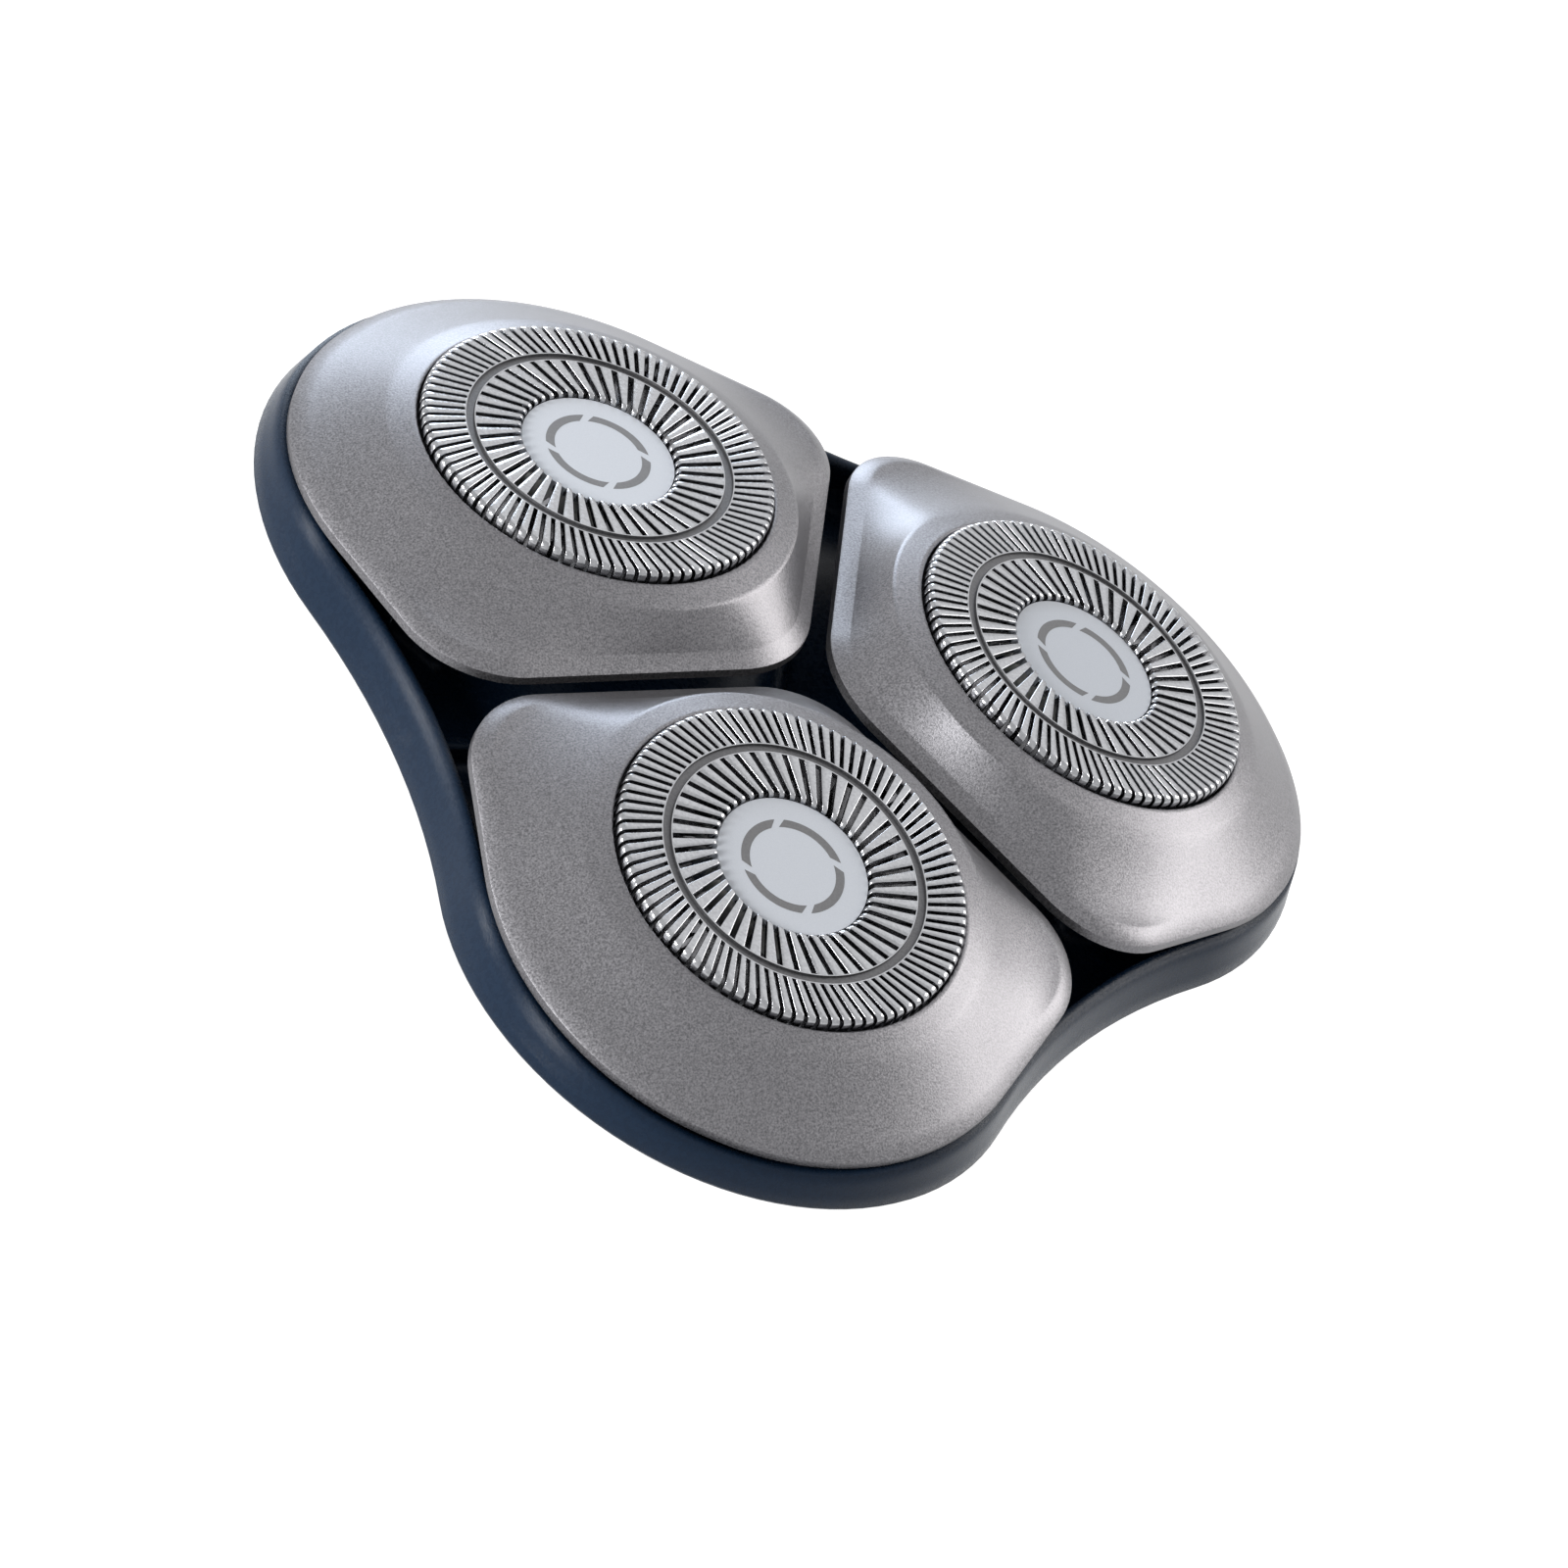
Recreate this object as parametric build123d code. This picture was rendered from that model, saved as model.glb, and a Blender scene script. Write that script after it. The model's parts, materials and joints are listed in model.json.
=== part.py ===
# Rotary shaver head with three tilting pods, slotted guards and a geared spindle drive.
# Millimetres. +Z points out of the shaving faces. The origin is on the drive axis,
# in the end face of the coupling collar, on which the head stands.
from build123d import *
from math import acos, atan2, cos, pi, radians, sin, sqrt, tan
import os

# Layout of the heads
HEADS = 3
FACE_LEAD = 0.6           # centre of a shaving face outside the axis of its spindle
HEAD_TILT = 7.3           # each face leans outwards by this angle, in degrees
FACE_Z = 19.0             # height of a face's centre above the end of the collar
PIVOT_DEPTH = 6.4         # tilt axis of a pod, below its face

# Clearances
RUNNING_GAP = 0.05        # radial play of a turning journal
SLIDING_GAP = 0.10        # radial play of the guard in its pod
FREE_GAP = 0.3            # between pieces that must not touch

# Guard, a thin steel cup with two slotted tracks
GUARD_R = 9.63
GUARD_PLATE = 0.6
GUARD_WALL = 0.3
GUARD_DEPTH = 2.2
FLANGE_WIDTH = 0.65
FLANGE_THICKNESS = 0.4
GROOVE_INNER_R = 6.75     # plain groove between the two tracks
GROOVE_OUTER_R = 7.35
GROOVE_DEPTH = 0.15
OUTER_SLOTS = 90
OUTER_SLOT_WIDTH = 0.22
INNER_SLOTS = 45
INNER_SLOT_WIDTH = 0.30
SLOT_SKEW = 16.0          # slots lean from the radial line by this angle, in degrees
SLOT_MARGIN = 0.05        # plain steel left beside the ends of a slot
WELL_R = 4.2              # inside radius of the centre well
WELL_DEPTH = 0.81
FLOAT = 0.8               # how far a guard can be pushed in

# Badge disc in the well
BADGE_THICKNESS = 0.5
BADGE_FIT = 0.04

# Pod shell
POD_GAP = 1.8             # between the straight sides of neighbouring pods
POD_CORNER_Y = 18.0       # where the straight side meets the shoulder
POD_NOSE_X = 15.6         # outermost edge
POD_NOSE_Y = 11.0         # where the shoulder meets the nose
POD_APEX_ROUND = 6.3
POD_CORNER_ROUND = 5.4
POD_NOSE_FLAT = 0.3       # half of the straight part of the nose
POD_BOTTOM = 4.1          # lower edge, below the face
POD_WALL_DROP = 3.55      # top of the upright lip
POD_BEVEL = 0.75          # width of the bevel above the lip
POD_BEVEL_DROP = 3.1
COLLAR_R = 11.2           # raised collar around the guard
COLLAR_INNER_DROP = 0.6
COLLAR_OUTER_DROP = 1.1
CROWN_R = 11.0            # where the steep sides would meet above the collar
CROWN_DROP = 0.8
FLANK_TOP_R = 12.9        # steepest part of the concave flank
FLANK_TOP_DROP = 2.0
FLANK_MIDDLE_R = 15.5
FLANK_MIDDLE_DROP = 2.75
FLANK_END_R = 19.5

# Retaining ring and its hinge pins
RING_INNER_R = 8.4
RING_LEDGE = 1.22         # width of the ring outside the flange's recess
RING_THICKNESS = 0.95
PIN_R = 0.9
LUG_R = 1.6
LUG_INNER_Y = 9.2
LUG_THICKNESS = 1.4
BRACKET_THICKNESS = 1.4
EYE_WALL = 0.8
EYE_MOUTH = 1.4           # snap-in slot above the pin

# Cutter
BLADES = 10
BLADE_HEIGHT = 1.05
BLADE_FOOT = 0.45
BLADE_EDGE = 0.25
BLADE_LEAN = 0.5
BLADE_GAP = 0.05          # between blade and guard
DISC_THICKNESS = 0.3
DISC_INNER_R = 5.0
CUTTER_R = 9.05
CARRIER_R = 8.0
CARRIER_THICKNESS = 0.6
CARRIER_RING_WIDTH = 2.6
CARRIER_SPOKES = 3
SPOKE_WIDTH = 1.6
HUB_R = 3.4
HUB_BOTTOM = 5.2
SOCKET_ROOF = 3.1

# Spindle
TIP_FLAT_R = 1.15         # centre to flat of the three-sided tip
TIP_CORNER_R = 1.75
TIP_HEIGHT = 1.6
TIP_TOP = 3.4             # below the face's centre, measured along the drive axis
TIP_PLAY = 0.45           # lets the pod tilt around the tip
NECK_R = 1.2
NECK_LENGTH = 1.6
HEX_FLAT = 4.4
HEX_LENGTH = 3.0
HEX_PLAY = 0.06
SPRING_BORE_R = 1.6
SPRING_BORE_ROOF = 0.5

# Spring
SPRING_WIRE = 0.4
SPRING_MEAN_R = 1.2
SPRING_TURNS = 3
SPRING_SIDES = 4          # drawn square wire
SPRING_END_GAP = 0.05

# Gears
MODULE = 0.8
DRIVE_TEETH = 18
SPINDLE_TEETH = 21
GEAR_WIDTH = 2.0
TOOTH_THINNING = 0.16     # backlash, taken off each tooth at the pitch circle
ROOT_CLEARANCE = 0.2
PRESSURE_ANGLE = 20.0
GEAR_HUB_R = 3.3
GEAR_FLOOR = 0.6
SHAFT_SOCKET_FLAT = 3.2
SHAFT_SOCKET_DEPTH = 3.2
DRIVE_HUB_R = 3.5
JOURNAL_R = 1.5
JOURNAL_LENGTH = 1.0
PIVOT_PIN_R = 1.0
PIVOT_PIN_LENGTH = 0.8

# Base tray, three lobes joined by concave waists
LOBE_SETBACK = 0.4        # centre of a lobe inside the centre of its face
LOBE_MARGIN = 0.7         # widest part outside the nose of a pod
WAIST_ARC_R = 39.6        # concave arcs between the lobes
RIM_DROP = 5.15           # rim top at the waists, below the faces' centres
RIM_GAP = 0.2             # between the rim and the lower edges of the pods
RIM_LEAN = 0.65           # how far the wall leans in from the widest part to the rim
RIM_WIDTH = 0.65          # thickness of the wall at the rim
RIM_ROUND = 0.3           # outer edge of the rim
RIM_INNER_ROUND = 0.25
ROUND_STEPS = 3
WIDEST_HEIGHT = 1.9       # widest part above the foot
EDGE_HEIGHT = 0.2         # small bevel under the widest part
EDGE_INSET = 0.12
FOOT_LIP = 0.5            # foot of the wall below the floor's underside
FOOT_STEP = 1.0           # foot of the wall beyond the cover's wall, on both sides
INSIDE_INSET = 0.8
COVE = 0.7                # width of the cove round the tray's floor
COVE_HEIGHT = 0.8
FLOOR_DROP = 8.2
FLOOR_THICKNESS = 1.2
BOSS_R = 4.4
BOSS_HEIGHT = 0.6
CENTRE_BOSS_R = 3.0
CENTRE_BOSS_HEIGHT = 0.6
RIB_INNER = 2.5
RIB_SINK = 0.6            # how far a rib reaches into the wall of a waist
RIB_WIDTH = 0.8
RIB_HEIGHT = 1.0

# Gear cover and coupling collar
GEAR_ROOM = 0.4           # between the tips of a gear and the cover's walls
COVER_TAPER = 42.0
COVER_HEIGHT = 3.9
COVER_WALL = 1.2
BEARING_WALL = 0.9
COUPLING_R = 11.5
COUPLING_BORE_R = 9.5
SNAP_GROOVE_DEPTH = 0.4
SNAP_GROOVE_WIDTH = 1.0
SNAP_GROOVE_Z = 1.2

# Cover screws
SCREW_MARGIN = 0.2        # between a head and the coupling collar
SCREW_HEAD_R = 1.5
SCREW_HEAD_HEIGHT = 1.1
SCREW_SHANK_R = 0.9
SCREW_LENGTH = 4.6
SCREW_POST_R = 2.1
SCREW_DRIVE_R = 0.8
SCREW_RECESS = 0.2        # head below the cover's face
POST_DROP = 1.7           # length of the tray's screw post under its floor

# Derived sizes
STEP = 360 / HEADS
FLANGE_R = GUARD_R + FLANGE_WIDTH
FLANGE_BORE_R = FLANGE_R + FREE_GAP
RING_OUTER_R = FLANGE_BORE_R + RING_LEDGE
RING_TOP = POD_BOTTOM - RING_THICKNESS
FLOOR_TOP = FACE_Z - FLOOR_DROP
FLOOR_BOTTOM = FLOOR_TOP - FLOOR_THICKNESS
INSIDE_DROP = FLOOR_DROP - COVE_HEIGHT
FOOT_DROP = FLOOR_DROP + FLOOR_THICKNESS + FOOT_LIP
WIDEST_DROP = FOOT_DROP - WIDEST_HEIGHT
EDGE_DROP = WIDEST_DROP + EDGE_HEIGHT
WALL_BOTTOM = FACE_Z - FOOT_DROP
COVER_BOTTOM = WALL_BOTTOM - COVER_HEIGHT
COVER_FLOOR = COVER_BOTTOM + COVER_WALL
DRIVE_PITCH_R = MODULE * DRIVE_TEETH / 2
SPINDLE_PITCH_R = MODULE * SPINDLE_TEETH / 2
SPINDLE_AXIS_R = DRIVE_PITCH_R + SPINDLE_PITCH_R
SPINDLE_TIP_R = SPINDLE_PITCH_R + MODULE
PITCH_R = SPINDLE_AXIS_R + FACE_LEAD
LOBE_CENTRE_R = PITCH_R - LOBE_SETBACK
LOBE_R = POD_NOSE_X + LOBE_MARGIN
SCREW_PITCH_R = COUPLING_R + SCREW_MARGIN + SCREW_HEAD_R
GEAR_BOTTOM = COVER_FLOOR + (FLOOR_BOTTOM - COVER_FLOOR - GEAR_WIDTH) / 2
GEAR_TOP = GEAR_BOTTOM + GEAR_WIDTH
COVER_SLOPE = tan(radians(COVER_TAPER))
COVER_GROW = SPINDLE_TIP_R + GEAR_ROOM + COVER_WALL - LOBE_R + (WALL_BOTTOM - GEAR_BOTTOM) * COVER_SLOPE
TIP_Z = FACE_Z - TIP_TOP
HEX_TOP = TIP_Z - TIP_HEIGHT - NECK_LENGTH
HUB_TOP = HEX_TOP - FLOAT / 2
SPRING_SEAT = GEAR_BOTTOM + PIVOT_PIN_LENGTH + RUNNING_GAP + GEAR_FLOOR
SCREW_SEAT = COVER_BOTTOM + SCREW_RECESS + SCREW_HEAD_HEIGHT
SCREW_TOP = SCREW_SEAT + SCREW_LENGTH - SCREW_HEAD_HEIGHT
POST_JOINT_Z = FLOOR_BOTTOM - POST_DROP


def head_plane(index):
    """Plane of a shaving face: x points away from the drive axis, z out of the face."""
    turn = Rot(0, 0, index * STEP)
    return turn * Pos(PITCH_R, 0, FACE_Z) * Rot(0, HEAD_TILT, 0)


def spindle_place(index):
    """Upright axis of a spindle, at the level of the collar's end face."""
    return Rot(0, 0, index * STEP) * Pos(SPINDLE_AXIS_R, 0, 0)


def disc(radius, low, high):
    """Cylinder on the z axis between two heights."""
    return Pos(0, 0, low) * extrude(Circle(radius), high - low)


def tube(outer, inner, low, high):
    """Round tube on the z axis between two heights."""
    return Pos(0, 0, low) * extrude(Circle(outer) - Circle(inner), high - low)


def turned(points):
    """Solid of revolution of a closed outline given as (radius, height) points."""
    return revolve(make_face(Plane.XZ * Polyline(points, close=True)), Axis.Z)


def slot_pattern(count, width, inner, outer):
    """Flat pattern of skewed slots between two radii."""
    middle = (inner + outer) / 2
    length = (outer - inner) / cos(radians(SLOT_SKEW))
    slot = Rot(0, 0, SLOT_SKEW) * Rectangle(length, width)
    return [Rot(0, 0, 360 * i / count) * Pos(middle, 0, 0) * slot for i in range(count)]


def guard():
    """Slotted steel cup, with its face in the plane z = 0."""
    inside = GUARD_R - GUARD_WALL
    well_wall = WELL_R + GUARD_WALL
    cup = turned([
        (0, -WELL_DEPTH), (WELL_R, -WELL_DEPTH), (WELL_R, 0), (GROOVE_INNER_R, 0),
        (GROOVE_INNER_R, -GROOVE_DEPTH), (GROOVE_OUTER_R, -GROOVE_DEPTH), (GROOVE_OUTER_R, 0),
        (GUARD_R, 0), (GUARD_R, FLANGE_THICKNESS - GUARD_DEPTH),
        (FLANGE_R, FLANGE_THICKNESS - GUARD_DEPTH), (FLANGE_R, -GUARD_DEPTH),
        (inside, -GUARD_DEPTH), (inside, -GUARD_PLATE), (well_wall, -GUARD_PLATE),
        (well_wall, -WELL_DEPTH - GUARD_WALL), (0, -WELL_DEPTH - GUARD_WALL),
    ])
    outer = slot_pattern(OUTER_SLOTS, OUTER_SLOT_WIDTH, GROOVE_OUTER_R + SLOT_MARGIN, inside - SLOT_MARGIN)
    inner = slot_pattern(INNER_SLOTS, INNER_SLOT_WIDTH, well_wall + SLOT_MARGIN, GROOVE_INNER_R - SLOT_MARGIN)
    cutters = [Pos(0, 0, -GUARD_PLATE) * extrude(slot, 2 * GUARD_PLATE) for slot in outer + inner]
    return cup - cutters


def badge_disc():
    """Disc that covers the bottom of the guard's well."""
    return disc(WELL_R - BADGE_FIT, -WELL_DEPTH, BADGE_THICKNESS - WELL_DEPTH)


def pod_outline(inset=0.0):
    """Outline of a pod, with straight sides towards its neighbours and a rounded nose."""
    side_angle = radians(STEP / 2)
    apex_x = POD_GAP / 2 / sin(side_angle) - PITCH_R
    corner_x = apex_x + POD_CORNER_Y / tan(side_angle)
    corners = [
        (apex_x, 0), (corner_x, -POD_CORNER_Y), (POD_NOSE_X, -POD_NOSE_Y),
        (POD_NOSE_X, POD_NOSE_Y), (corner_x, POD_CORNER_Y),
    ]
    shoulder_slope = atan2(POD_CORNER_Y - POD_NOSE_Y, POD_NOSE_X - corner_x)
    nose_round = (POD_NOSE_Y - POD_NOSE_FLAT) * tan(radians(45) + shoulder_slope / 2)
    rounds = [POD_APEX_ROUND, POD_CORNER_ROUND, nose_round, nose_round, POD_CORNER_ROUND]
    face = make_face(FilletPolyline(*corners, radius=rounds, close=True))
    return offset(face, -inset) if inset else face


def pod_shell():
    """Cap of a pod: bevelled lip, concave flank and a round collar around the guard."""
    outline = pod_outline()
    bevel_top = Pos(0, 0, -POD_BEVEL_DROP) * pod_outline(POD_BEVEL)
    crown = Pos(0, 0, -CROWN_DROP) * Circle(CROWN_R)
    shell = Pos(0, 0, -POD_BOTTOM) * extrude(outline, POD_BOTTOM - POD_WALL_DROP)
    shell += loft([Pos(0, 0, -POD_WALL_DROP) * outline, bevel_top], ruled=True)
    shell += loft([bevel_top, crown], ruled=True)
    shell -= flank_scoop()
    seat_top = GUARD_DEPTH - FLANGE_THICKNESS
    shell -= disc(GUARD_R + SLIDING_GAP, -POD_BOTTOM, 0)
    shell -= disc(FLANGE_BORE_R, -POD_BOTTOM, -seat_top)
    shell -= disc(RING_OUTER_R + RUNNING_GAP, -POD_BOTTOM, -RING_TOP)
    return shell


def flank_scoop():
    """What is cut away above the collar's slope and the concave flank."""
    return turned([
        (0, 0), (0, -COLLAR_INNER_DROP), (GUARD_R, -COLLAR_INNER_DROP), (COLLAR_R, -COLLAR_OUTER_DROP),
        (FLANK_TOP_R, -FLANK_TOP_DROP), (FLANK_MIDDLE_R, -FLANK_MIDDLE_DROP),
        (FLANK_END_R, -POD_BEVEL_DROP), (FLANK_END_R, 0),
    ])


def retaining_ring():
    """Ring that holds guard and cutter in the pod, with two lugs and their hinge pins."""
    ring = tube(RING_OUTER_R, RING_INNER_R, -POD_BOTTOM, -RING_TOP)
    for side in (1, -1):
        lug = lug_profile(LUG_R, PIVOT_DEPTH - POD_BOTTOM)
        inner = side * LUG_INNER_Y
        start = Pos(0, inner, -PIVOT_DEPTH)
        ring += start * Rot(90, 0, 0) * extrude(lug, -side * LUG_THICKNESS)
        pin = Circle(PIN_R)
        reach = LUG_THICKNESS + FREE_GAP + BRACKET_THICKNESS
        ring += start * Rot(90, 0, 0) * extrude(pin, -side * reach)
    return ring


def lug_profile(radius, height):
    """Flat lug with a round end about the pin, reaching up by a height."""
    return Circle(radius) + Pos(0, height / 2) * Rectangle(2 * radius, height)


def cutter_blades():
    """Steel disc with two rings of raised blades that lean in the sense of rotation."""
    top = -GUARD_PLATE - BLADE_GAP
    foot = top - BLADE_HEIGHT
    plate = tube(CUTTER_R, DISC_INNER_R, foot - DISC_THICKNESS, foot)
    tracks = [
        (GROOVE_OUTER_R + SLOT_MARGIN, CUTTER_R - SLOT_MARGIN),
        (DISC_INNER_R + SLOT_MARGIN, GROOVE_INNER_R - SLOT_MARGIN),
    ]
    profile = Plane.YZ * make_face(Polyline(
        (-BLADE_FOOT / 2, foot), (BLADE_FOOT / 2, foot),
        (BLADE_LEAN + BLADE_EDGE, top), (BLADE_LEAN, top), close=True))
    for ring, (inner, outer) in enumerate(tracks):
        blade = Pos(inner, 0, 0) * extrude(profile, outer - inner)
        stagger = ring / len(tracks)
        plate += [Rot(0, 0, 360 * (i + stagger) / BLADES) * blade for i in range(BLADES)]
    return plate


def cutter_carrier():
    """Plastic spider under the blades, with a three-sided socket for the spindle."""
    top = -GUARD_PLATE - BLADE_GAP - BLADE_HEIGHT - DISC_THICKNESS
    low = top - CARRIER_THICKNESS
    hub_top = -WELL_DEPTH - GUARD_WALL - FREE_GAP
    inner = CARRIER_R - CARRIER_RING_WIDTH
    carrier = tube(CARRIER_R, inner, low, top) + disc(HUB_R, -HUB_BOTTOM, hub_top)
    spoke = Pos((HUB_R + inner) / 2, 0, low) * extrude(Rectangle(inner - HUB_R + SPOKE_WIDTH, SPOKE_WIDTH),
                                                        CARRIER_THICKNESS)
    carrier += [Rot(0, 0, i * 360 / CARRIER_SPOKES) * spoke for i in range(CARRIER_SPOKES)]
    socket = three_sided(TIP_FLAT_R + TIP_PLAY, TIP_CORNER_R + TIP_PLAY)
    return carrier - Pos(0, 0, -HUB_BOTTOM) * extrude(socket, HUB_BOTTOM - SOCKET_ROOF)


def three_sided(flat_r, corner_r):
    """Triangle with its corners cut round."""
    return RegularPolygon(flat_r, 3, major_radius=False) & Circle(corner_r)


def spindle():
    """Sliding spindle: hollow six-sided foot, slim neck and barrelled three-sided tip."""
    tip = extrude(three_sided(TIP_FLAT_R, TIP_CORNER_R), TIP_HEIGHT)
    tip &= Pos(0, 0, TIP_HEIGHT / 2) * Sphere(TIP_CORNER_R)
    foot = extrude(RegularPolygon(HEX_FLAT / 2, 6, major_radius=False), HEX_LENGTH)
    foot -= disc(SPRING_BORE_R, 0, HEX_LENGTH - SPRING_BORE_ROOF)
    body = Pos(0, 0, HEX_TOP - HEX_LENGTH) * foot
    body += disc(NECK_R, HEX_TOP, TIP_Z - TIP_HEIGHT / 2)
    return body + Pos(0, 0, TIP_Z - TIP_HEIGHT) * tip


def spindle_spring():
    """Coil spring between the gear's floor and the roof of the spindle's bore."""
    low = SPRING_SEAT + SPRING_WIRE / 2
    high = HEX_TOP - SPRING_BORE_ROOF - SPRING_WIRE / 2
    height = high - low - 2 * SPRING_END_GAP
    path = Helix(height / SPRING_TURNS, height, SPRING_MEAN_R)
    start = Plane(origin=path @ 0, z_dir=path % 0)
    coil = sweep(start * RegularPolygon(SPRING_WIRE / 2, SPRING_SIDES), path=path, is_frenet=True)
    return Pos(0, 0, low + SPRING_END_GAP) * coil


def gear_face(teeth, start):
    """Flat outline of a spur gear, its first tooth or gap on the x axis."""
    pitch_r = MODULE * teeth / 2
    tip_r = pitch_r + MODULE
    root_r = pitch_r - MODULE - ROOT_CLEARANCE
    half = pi / (2 * teeth) - TOOTH_THINNING / (2 * pitch_r)
    base_r = pitch_r * cos(radians(PRESSURE_ANGLE))
    spread = involute(pitch_r, base_r)
    tip_half = half + spread - involute(tip_r, base_r)
    root_half = half + spread - involute(max(root_r, base_r), base_r)
    points = []
    for i in range(teeth):
        middle = 2 * pi * (i + start) / teeth
        for radius, turn in ((root_r, -root_half), (tip_r, -tip_half), (tip_r, tip_half), (root_r, root_half)):
            points.append((radius * cos(middle + turn), radius * sin(middle + turn)))
    return make_face(Polyline(points, close=True))


def involute(radius, base_r):
    """Angle by which an involute has turned where it reaches a radius."""
    slope = acos(base_r / radius)
    return tan(slope) - slope


def drive_gear():
    """Central gear with its journal above and the socket for the motor shaft below."""
    gear = Pos(0, 0, GEAR_BOTTOM) * extrude(gear_face(DRIVE_TEETH, 0), GEAR_WIDTH)
    gear += disc(DRIVE_HUB_R, COVER_BOTTOM, GEAR_BOTTOM)
    gear += disc(JOURNAL_R, GEAR_TOP, FLOOR_BOTTOM + JOURNAL_LENGTH - RUNNING_GAP)
    socket = extrude(RegularPolygon(SHAFT_SOCKET_FLAT / 2, 6, major_radius=False), SHAFT_SOCKET_DEPTH)
    return gear - Pos(0, 0, COVER_BOTTOM) * socket


def spindle_gear():
    """Gear with a tall hub that guides the six-sided foot of the spindle."""
    gear = Pos(0, 0, GEAR_BOTTOM) * extrude(gear_face(SPINDLE_TEETH, 0), GEAR_WIDTH)
    gear += disc(GEAR_HUB_R, GEAR_BOTTOM, HUB_TOP)
    guide = extrude(RegularPolygon(HEX_FLAT / 2 + HEX_PLAY, 6, major_radius=False), HUB_TOP - SPRING_SEAT)
    gear -= Pos(0, 0, SPRING_SEAT) * guide
    return gear - disc(PIVOT_PIN_R + RUNNING_GAP, GEAR_BOTTOM, GEAR_BOTTOM + PIVOT_PIN_LENGTH + RUNNING_GAP)


def waist_centre():
    """Centre of the concave arc that joins the first two lobes."""
    half_step = radians(STEP / 2)
    across = LOBE_CENTRE_R * sin(half_step)
    reach = LOBE_CENTRE_R * cos(half_step) + sqrt((LOBE_R + WAIST_ARC_R) ** 2 - across ** 2)
    return Vector(cos(half_step), sin(half_step)) * reach


def lobed(grow, height):
    """Three-lobed face of tangent arcs, grown by an amount, at a height."""
    lobe = Vector(LOBE_CENTRE_R, 0)
    waist = waist_centre()
    outward = (waist - lobe).normalized()
    touch = lobe + outward * (LOBE_R + grow)
    crest = lobe + Vector(LOBE_R + grow, 0)
    valley = waist - waist.normalized() * (WAIST_ARC_R - grow)
    edges = []
    for i in range(HEADS):
        turn = Rot(0, 0, i * STEP)
        mirrored = Vector(touch.X, -touch.Y)
        far = Rot(0, 0, STEP) * Pos(mirrored)
        edges.append(turn * ThreePointArc(mirrored, crest, touch))
        edges.append(turn * ThreePointArc(touch, valley, far.position))
    return Pos(0, 0, height) * make_face(edges)


def lobed_solid(steps):
    """Solid through three-lobed sections, given as (drop below the faces, growth) pairs."""
    return loft([lobed(grow, FACE_Z - drop) for drop, grow in steps], ruled=True)


def base_tray():
    """Glossy tray that carries the pods' brackets and closes the gear space from above."""
    tray = tray_wall()
    under = COVER_GROW - FOOT_STEP
    tray -= loft([lobed(under, WALL_BOTTOM), lobed(under, FLOOR_BOTTOM)], ruled=True)
    tray += disc(CENTRE_BOSS_R, FLOOR_BOTTOM, FLOOR_TOP + CENTRE_BOSS_HEIGHT)
    tray -= disc(JOURNAL_R + RUNNING_GAP, FLOOR_BOTTOM, FLOOR_BOTTOM + JOURNAL_LENGTH)
    for i in range(HEADS):
        axis = spindle_place(i)
        tray += axis * disc(BOSS_R, FLOOR_BOTTOM, FLOOR_TOP + BOSS_HEIGHT)
        tray -= axis * disc(GEAR_HUB_R + RUNNING_GAP, FLOOR_BOTTOM, FLOOR_TOP + BOSS_HEIGHT)
        tray += [Rot(0, 0, i * STEP) * bracket(side) for side in (1, -1)]
        tray += Rot(0, 0, (i + 0.5) * STEP) * floor_rib()
        post = screw_place(i)
        tray += post * disc(SCREW_POST_R, POST_JOINT_Z, FLOOR_BOTTOM)
        tray -= post * disc(SCREW_SHANK_R + RUNNING_GAP, POST_JOINT_Z, SCREW_TOP + FREE_GAP)
    return tray


def tray_wall():
    """Hollow three-lobed wall on its floor, with a rounded rim that dips under each pod."""
    wall = lobed_solid(rounding(-RIM_LEAN, -RIM_ROUND) + [
        (WIDEST_DROP, 0), (EDGE_DROP, -EDGE_INSET), (FOOT_DROP, COVER_GROW + FOOT_STEP),
    ])
    wall -= lobed_solid(rounding(-RIM_LEAN - RIM_WIDTH, RIM_INNER_ROUND) + [
        (INSIDE_DROP, -INSIDE_INSET), (FLOOR_DROP, -INSIDE_INSET - COVE),
    ])
    for i in range(HEADS):
        wall -= head_plane(i) * rim_trim()
    return wall


def rounding(grow, radius):
    """Sections of one rounded edge of the rim, inwards for a negative radius."""
    turns = [radians(90 * i / ROUND_STEPS) for i in range(ROUND_STEPS + 1)]
    return [(RIM_DROP + abs(radius) * (1 - cos(a)), grow + radius * (1 - sin(a))) for a in turns]


def rim_trim():
    """What is cut off the rim, so that it stays clear under the outer edge of a pod."""
    reach = LOBE_CENTRE_R + LOBE_R - PITCH_R
    slab = Pos(reach, 0) * Rectangle(2 * reach, 2 * LOBE_R)
    return Pos(0, 0, -POD_BOTTOM - RIM_GAP) * extrude(slab, POD_BOTTOM)


def bracket(side):
    """Upright snap-in bearing for one hinge pin of a pod."""
    tilt = radians(HEAD_TILT)
    axis_x = PITCH_R - PIVOT_DEPTH * sin(tilt)
    axis_z = FACE_Z - PIVOT_DEPTH * cos(tilt)
    eye_r = PIN_R + RUNNING_GAP
    profile = Circle(eye_r + EYE_WALL)
    height = axis_z - FLOOR_TOP
    profile += Pos(0, -height / 2) * Rectangle(2 * (eye_r + EYE_WALL), height)
    profile -= Circle(eye_r)
    profile -= Pos(0, eye_r + EYE_WALL / 2) * Rectangle(EYE_MOUTH, 2 * EYE_WALL)
    start = side * (LUG_INNER_Y + LUG_THICKNESS + FREE_GAP)
    return Pos(axis_x, start, axis_z) * Rot(90, 0, 0) * extrude(profile, -side * BRACKET_THICKNESS)


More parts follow.
